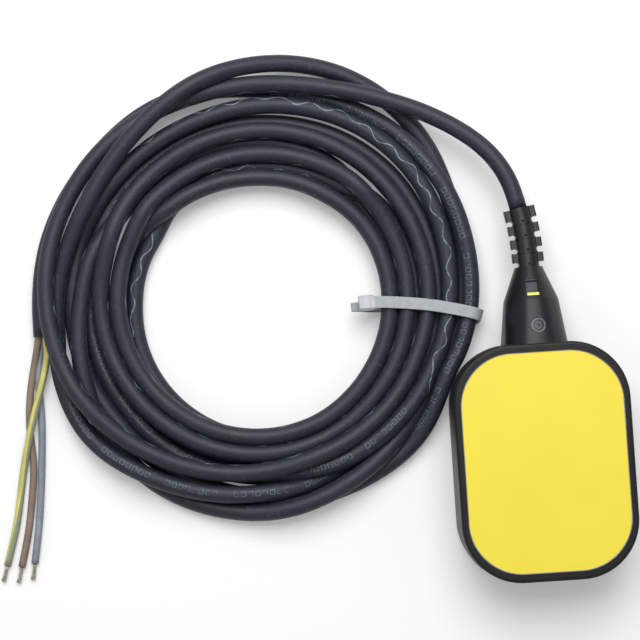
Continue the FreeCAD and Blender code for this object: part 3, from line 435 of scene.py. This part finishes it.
finishes = {
    "float_black": moulded("float_black", (0.0115, 0.0100, 0.0102), 0.46, 0.00004, shine=0.3),
    "label_yellow": label_sheet("label_yellow", (0.90, 0.742, 0.055)),
    "neck_black": neck_plastic(),
    # Painted highlight: pale grey for the bead that stands in for the light line on the rim's inner lip
    "rim_highlight_grey": moulded("rim_highlight_grey", (0.27, 0.27, 0.29), 0.3, 0.00001),
    "tab_yellow": label_sheet("tab_yellow", (0.85, 0.80, 0.16)),
    "relief_rubber": moulded("relief_rubber", (0.0075, 0.0075, 0.0095), 0.40, 0.00003),
    "cable_rubber": cable_rubber(),
    "tie_nylon": nylon("tie_nylon", (0.37, 0.395, 0.415)),
    "tie_head_nylon": nylon("tie_head_nylon", (0.55, 0.56, 0.59)),
    "core_brown": core_plastic("core_brown", (0.25, 0.18, 0.14)),
    "core_earth": core_plastic("core_earth", (0.68, 0.61, 0.17), (0.27, 0.31, 0.20)),
    "core_blue": core_plastic("core_blue", (0.25, 0.28, 0.33)),
    "tinned_copper": metal("tinned_copper", (0.80, 0.74, 0.66), 0.42),
    "capsule_plastic": moulded("capsule_plastic", (0.03, 0.03, 0.032), 0.45, 0.00003),
    "seal_rubber": moulded("seal_rubber", (0.025, 0.025, 0.025), 0.6, 0.00004),
    "switch_plastic": moulded("switch_plastic", (0.22, 0.035, 0.025), 0.45, 0.00003),
    "lever_plastic": moulded("lever_plastic", (0.72, 0.72, 0.70), 0.4, 0.00002, 0.04),
    "ball_steel": metal("ball_steel", (0.62, 0.62, 0.64), 0.15),
    "pin_steel": metal("pin_steel", (0.5, 0.5, 0.52), 0.3),
    "contact_brass": metal("contact_brass", (0.62, 0.45, 0.18), 0.3),
}


def dress_cad_nodes():
    """Gives each CAD node its finish by its material slot."""
    for part in record["subparts"]:
        node = frame["nodes"][part["node"]]
        node.data.materials.clear()
        node.data.materials.append(finishes[part["material_slot"]])


def tube_faces(first, second, sides):
    """Faces between two rings of points of a tube, given the number of each ring's first point."""
    faces = []
    for step in range(sides):
        onward = (step + 1) % sides
        faces.append((first + step, first + onward, second + onward, second + step))
    return faces


def highlight_bead():
    """Pale grey bead round the front plate, where it meets the rim: a painted highlight along the rim's
    inner lip, drawn as a thin ring round the plate.
    """
    low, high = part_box("front_label")
    corner = label_corner_mm * MM
    corner_steps, sides = 16, 8
    line = []
    for quarter, (right, back) in enumerate(((True, True), (False, True), (False, False), (True, False))):
        x = high[0] - corner if right else low[0] + corner
        y = high[1] - corner if back else low[1] + corner
        for step in range(corner_steps + 1):
            angle = math.pi / 2 * (quarter + step / corner_steps)
            line.append(Vector((x + corner * math.cos(angle), y + corner * math.sin(angle), high[2])))
    points, faces = [], []
    for index, middle in enumerate(line):
        onward = (line[(index + 1) % len(line)] - line[index - 1]).normalized()
        side = onward.cross(Vector((0, 0, 1)))
        for step in range(sides):
            turn = 2 * math.pi * step / sides
            outward = side * math.cos(turn) + Vector((0, 0, math.sin(turn)))
            points.append(middle + outward * highlight_bead_mm * MM)
        faces += tube_faces(index * sides, (index + 1) % len(line) * sides, sides)
    edge = add_mesh("highlight_bead", points, faces, finishes["rim_highlight_grey"])
    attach(edge, "float")


def metres(point_mm):
    return Vector([value * MM for value in point_mm])


def from_coil(route_mm):
    """Points given from the coil's middle, as points in the frame."""
    return [metres((coil_centre_mm[0] + x, coil_centre_mm[1] + y, z)) for x, y, z in route_mm]


def relief_exit():
    """End of the strain relief's bent axis, and the direction of the cable there."""
    turn = relief_length_mm / relief_bend_mm
    aside = -relief_bend_mm * (1 - math.cos(turn))
    end = metres((aside, neck_top_mm + relief_bend_mm * math.sin(turn), mid_mm))
    return end, Vector((-math.sin(turn), math.cos(turn), 0))


def room_beside_float(angle):
    """Farthest in mm that a strand's middle can lie from the turns' middle and miss the float."""
    corner_x = float_corner_mm - float_width_mm / 2 - turns_centre_mm[0]
    corner_y = float_end_mm - float_corner_mm - turns_centre_mm[1]
    clear = float_corner_mm + cable_diameter / MM / 2 + float_gap_mm
    along = corner_x * np.cos(angle) + corner_y * np.sin(angle)
    aside = corner_y * np.cos(angle) - corner_x * np.sin(angle)
    towards = (np.abs(aside) < clear) & (along > 0)
    anywhere = 1000.0
    return np.where(towards, along - np.sqrt(np.maximum(clear ** 2 - aside ** 2, 0)), anywhere)


def laid_turns():
    """Points of the coil's turns on even rays, settled on the floor, on each other and by the float."""
    degrees, distance, layer = np.array(turn_points).T
    across = cable_diameter / MM
    rays = round(360 / turn_step)
    places = np.arange(math.ceil(degrees[0] / turn_step), math.floor(degrees[-1] / turn_step) + 1)
    angle = np.radians(places * turn_step)
    # The cable cuts the corners between its points, so they lie a little farther out than it does
    wanted = np.interp(places * turn_step, degrees, distance) / math.cos(math.radians(turn_step / 2))
    wanted = np.minimum(wanted, room_beside_float(angle))
    layer = np.interp(places * turn_step, degrees, layer)
    hidden = layer < -0.01
    hold = np.where(hidden, hidden_hold, seen_hold)
    level = (np.maximum(layer, 0) + 0.5) * across
    radius, height = wanted.copy(), level.copy()
    # One row for each ray: the numbers of the points on it, filled up with -1
    same_ray = [np.nonzero(places % rays == ray)[0] for ray in range(rays)]
    table = np.full((rays, max(len(found) for found in same_ray)), -1)
    for ray, found in enumerate(same_ray):
        table[ray, :len(found)] = found
    real = table >= 0
    pairs = real[:, :, None] & real[:, None, :] & ~np.eye(table.shape[1], dtype=bool)[None]
    start = (np.hypot(*run_by_coil_mm[-1][:2]), run_by_coil_mm[-1][2])
    for _round in range(settle_rounds):
        height -= sink_mm
        for line, begin in ((radius, start[0]), (height, start[1])):
            before = np.concatenate(([begin], line[:-1]))
            after = np.concatenate((line[1:], [line[-1]]))
            line += evening * ((before + after) / 2 - line)
        radius += hold * (wanted - radius)
        height += level_hold * (level - height)
        r, z = radius[table], height[table]
        dr, dz = r[:, :, None] - r[:, None, :], z[:, :, None] - z[:, None, :]
        gap = np.hypot(dr, dz) + 1e-6
        press = np.where(pairs & (gap < across), (across - gap) / gap / 2, 0.0)
        np.add.at(radius, table[real], (press * dr).sum(2)[real] * push_aside)
        np.add.at(height, table[real], (press * dz).sum(2)[real] * push_up)
        radius = np.minimum(radius, room_beside_float(angle))
        height = np.maximum(height, across / 2)
    return [metres((turns_centre_mm[0] + r * math.cos(a), turns_centre_mm[1] + r * math.sin(a), z))
            for r, a, z in zip(radius, angle, height)]


def smooth_line(points, resolution):
    """Points along the smooth spline that has these control points."""
    curve = bpy.data.curves.new("route", "CURVE")
    curve.dimensions = "3D"
    spline = curve.splines.new("NURBS")
    spline.points.add(len(points) - 1)
    for made, point in zip(spline.points, points):
        made.co = (*point, 1.0)
    spline.order_u = 3
    spline.use_endpoint_u = True
    spline.resolution_u = resolution
    route = bpy.data.objects.new("route", curve)
    mesh = bpy.data.meshes.new_from_object(route)
    line = [vertex.co.copy() for vertex in mesh.vertices]
    bpy.data.objects.remove(route)
    bpy.data.curves.remove(curve)
    bpy.data.meshes.remove(mesh)
    return line


def add_mesh(name, points, faces, material, attributes=None):
    mesh = bpy.data.meshes.new(name)
    mesh.from_pydata([tuple(point) for point in points], [], faces)
    mesh.materials.append(material)
    mesh.shade_smooth()
    for label, values in (attributes or {}).items():
        layer = mesh.attributes.new(label, "FLOAT", "POINT")
        layer.data.foreach_set("value", values)
    made = bpy.data.objects.new(name, mesh)
    bpy.context.scene.collection.objects.link(made)
    return made


def round_cord(name, line, radius, sides, material, turned):
    """Round tube along a line, with closed ends. Its points keep their place along it and around it,
    from its lowest side, plus how far it is turned there."""
    turned = [turned[0], *turned, turned[-1]]
    rings = [(line[0], 0.0)] + [(point, radius) for point in line] + [(line[-1], 0.0)]
    tangents = []
    for index in range(len(line)):
        before, after = line[max(index - 1, 0)], line[min(index + 1, len(line) - 1)]
        tangents.append((after - before).normalized())
    tangents = [tangents[0]] + tangents + [tangents[-1]]
    points, faces, along, around = [], [], [], []
    travelled = 0.0
    for index, ((middle, reach), tangent) in enumerate(zip(rings, tangents)):
        if index:
            travelled += (middle - rings[index - 1][0]).length
            faces += tube_faces((index - 1) * sides, index * sides, sides)
        side = tangent.cross(Vector((0, 0, 1))).normalized()
        up = side.cross(tangent)
        for step in range(sides):
            turn = 2 * math.pi * step / sides
            points.append(middle + (up * -math.cos(turn) + side * math.sin(turn)) * reach)
            along.append(travelled)
            around.append(step / sides + turned[index])
    return add_mesh(name, points, faces, material, {"along": along, "around": around})


def marks_turned(line):
    """For each point of the cable, how far its marks are turned from the top."""
    aside, onward = np.array([point.xy for point in line]).T / MM
    angle = np.arctan2(onward - turns_centre_mm[1], aside - turns_centre_mm[0])
    degrees = np.degrees(np.unwrap(angle))
    return np.interp(degrees, *np.array(mark_points).T)


def main_cable():
    """The whole cable: free stretch and tied turns, as one cord."""
    start, onward = relief_exit()
    points = [start, start + onward * run_start_mm * MM] + [metres(point) for point in run_by_float_mm]
    points += from_coil(run_by_coil_mm) + laid_turns()
    line = smooth_line(points, cable_steps)
    rubber = finishes["cable_rubber"]
    cable = round_cord("cable", line, cable_diameter / 2, cable_sides, rubber, marks_turned(line))
    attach(cable, "float")
    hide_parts("cable_run", "cable_coil")
    [frame["nodes"]["strain_relief"]] + tie()


def tie_point(x, z, aside=0.0):
    """Point of the tie at a distance from the coil's middle, on its bend in plan."""
    return (x, tie_head_at[1] - tie_bend * (x - tie_head_at[0]) ** 2 - aside, z)


def band(name, line, widths, depths, material):
    """Flat band with eased edges along a line, its width level and square to the line in plan."""
    corners, ease_share, sharp_degrees = 8, 0.35, 35
    points, faces = [], []
    for index, (middle, width, depth) in enumerate(zip(line, widths, depths)):
        onward = (line[min(index + 1, len(line) - 1)] - line[max(index - 1, 0)]).normalized()
        slope = -2 * tie_bend * (middle.x / MM - coil_centre_mm[0] - tie_head_at[0])
        side = Vector((-slope, 1, 0)).normalized()
        out = side.cross(onward).normalized()
        half, low = width * MM / 2, depth * MM / 2
        ease = ease_share * low
        for a, b in ((half - ease, low), (half, low - ease), (half, ease - low), (half - ease, -low),
                     (ease - half, -low), (-half, ease - low), (-half, low - ease), (ease - half, low)):
            points.append(middle + side * a + out * b)
        if index:
            faces += tube_faces((index - 1) * corners, index * corners, corners)
    faces.append(tuple(reversed(range(corners))))
    faces.append(tuple(range(len(points) - corners, len(points))))
    made = add_mesh(name, points, faces, material)
    made.data.set_sharp_from_angle(angle=math.radians(sharp_degrees))
    return made


def tie():
    """Nylon tie: strap round the turns, head, and the tail cut short."""
    steps, tail_points = 6, 12
    points = [tie_point(x, z) for x, z in tie_over_mm]
    points += [tie_point(x, z, tie_under_aside_mm) for x, z in tie_under_mm]
    line = smooth_line(from_coil(points), steps)
    widths = np.interp(range(len(line)), (0, len(line) - tail_points, len(line) - 1),
                       (tie_width_mm, tie_width_mm, tie_tail_width_mm))
    depths = [tie_thickness_mm] * len(line)
    strap = band("tie_strap", line, widths, depths, finishes["tie_nylon"])
    distances, heights, widths, depths = zip(*tie_head_mm)
    middles = from_coil([tie_point(x, z) for x, z in zip(distances, heights)])
    head = band("tie_head", middles, widths, depths, finishes["tie_head_nylon"])
    for piece in (strap, head):
        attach(piece, "float")
    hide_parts("cable_tie")
    return [strap, head]


def stranded_end(colour, line):
    """Bare strands at a core's end, twisted and slightly splayed, not all of one length."""
    strand_radius = 0.0002
    layers = ((0.0, 1), (0.00041, 6), (0.00080, 11))
    twist, splay, shortest = 1.2, 0.30, 0.90
    steps, sides = 6, 6
    tangent = (line[-1] - line[-3]).normalized()
    side = tangent.cross(Vector((0, 0, 1))).normalized()
    up = side.cross(tangent)
    spots = [(reach, 2 * math.pi * step / count) for reach, count in layers for step in range(count)]
    points, faces = [], []
    for number, (reach, start) in enumerate(spots):
        length = conductor_length * (1 - (1 - shortest) * ((number * 7) % 5) / 4)
        first = len(points)
        for step in range(steps + 1):
            share = step / steps
            turn = start + twist * share
            spread = reach * (1 + splay * share * share)
            aside = side * math.cos(turn) + up * math.sin(turn)
            middle = line[-1] + tangent * (length * share) + aside * spread
            for corner in range(sides):
                angle = 2 * math.pi * corner / sides
                points.append(middle + (side * math.cos(angle) + up * math.sin(angle)) * strand_radius)
            if step:
                ring = first + step * sides
                faces += tube_faces(ring - sides, ring, sides)
        faces.append(tuple(first + corner for corner in reversed(range(sides))))
        faces.append(tuple(first + steps * sides + corner for corner in range(sides)))
    strands = add_mesh("strands_" + colour, points, faces, finishes["tinned_copper"])
    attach(strands, "float")
    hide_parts("conductor_" + colour)
    return strands


def wire_end(colour):
    """One core from the jacket's end to its bare strands."""
    points = from_coil(core_routes_mm[colour])
    line = smooth_line(points, core_steps)
    turned = np.interp(np.linspace(0, 1, len(line)), *core_twist)
    slot = "core_" + colour
    piece = round_cord("wire_" + colour, line, core_diameter / 2, core_sides, finishes[slot], turned)
    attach(piece, "float")
    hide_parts("core_" + colour)
    strands = stranded_end(colour, line)


def studio():
    """Pale floor, two soft lamps and white surroundings."""
    reach = 4.0
    corners = [(-reach, -reach, 0), (reach, -reach, 0), (reach, reach, 0), (-reach, reach, 0)]
    add_mesh("floor", corners, [(0, 1, 2, 3)], floor_finish())
    world = bpy.data.worlds.new("surroundings")
    bpy.context.scene.world = world
    world.use_nodes = True
    surroundings = world.node_tree.nodes["Background"].inputs
    surroundings["Color"].default_value = (1, 1, 1, 1)
    surroundings["Strength"].default_value = 0.38
    target = Vector((-0.1, 0.03, 0))
    for name, place, size, power in (("over", (-0.10, 0.60, 1.0), 0.85, 12.0),
                                     ("left", (-0.95, 0.10, 0.75), 0.5, 0.4)):
        lamp = bpy.data.lights.new(name, "AREA")
        lamp.shape = "SQUARE"
        lamp.size = size
        lamp.energy = power
        holder = bpy.data.objects.new(name, lamp)
        bpy.context.scene.collection.objects.link(holder)
        holder.location = place
        holder.rotation_euler = (target - Vector(place)).to_track_quat("-Z", "Y").to_euler()


def floor_finish():
    """Pale floor that the camera and reflections see as white, with the object's soft shadow."""
    finish = Finish("pale_floor")
    seen = finish.node("ShaderNodeLightPath", output="Is Camera Ray")
    seen = seen.largest(finish.node("ShaderNodeLightPath", output="Is Glossy Ray"))
    seen = seen.largest(finish.node("ShaderNodeLightPath", output="Is Transmission Ray"))
    tone = finish.mix(seen, (0.16, 0.155, 0.15), (0.8, 0.8, 0.8))
    glow = finish.mix(seen, (0.0, 0.0, 0.0), (0.2, 0.2, 0.2))
    return finish.surface(Base_Color=tone, Roughness=0.9, Specular_IOR_Level=0.0,
                          Emission_Color=glow, Emission_Strength=1.0)


def camera():
    """Camera nearly straight above, with the float leaning a little to the left."""
    height, lens = 0.95, 109.2
    foot = Vector((-0.1017, 0.0139, 0.0))
    aim = Vector((-0.1014, 0.0566, 0.0))
    picture_up = Vector((0.0645, 0.9979, 0.0))
    place = foot + Vector((0, 0, height))
    back = (place - aim).normalized()
    right = picture_up.cross(back).normalized()
    up = back.cross(right)
    data = bpy.data.cameras.new("camera")
    data.lens = lens
    data.sensor_width = 36.0
    eye = bpy.data.objects.new("camera", data)
    bpy.context.scene.collection.objects.link(eye)
    eye.matrix_world = Matrix((right, up, back)).transposed().to_4x4()
    eye.location = place
    bpy.context.scene.camera = eye


dress_cad_nodes()
highlight_bead()
main_cable()
for colour in core_routes_mm:
    wire_end(colour)
studio()
camera()
bpy.context.scene.view_settings.view_transform = "Standard"
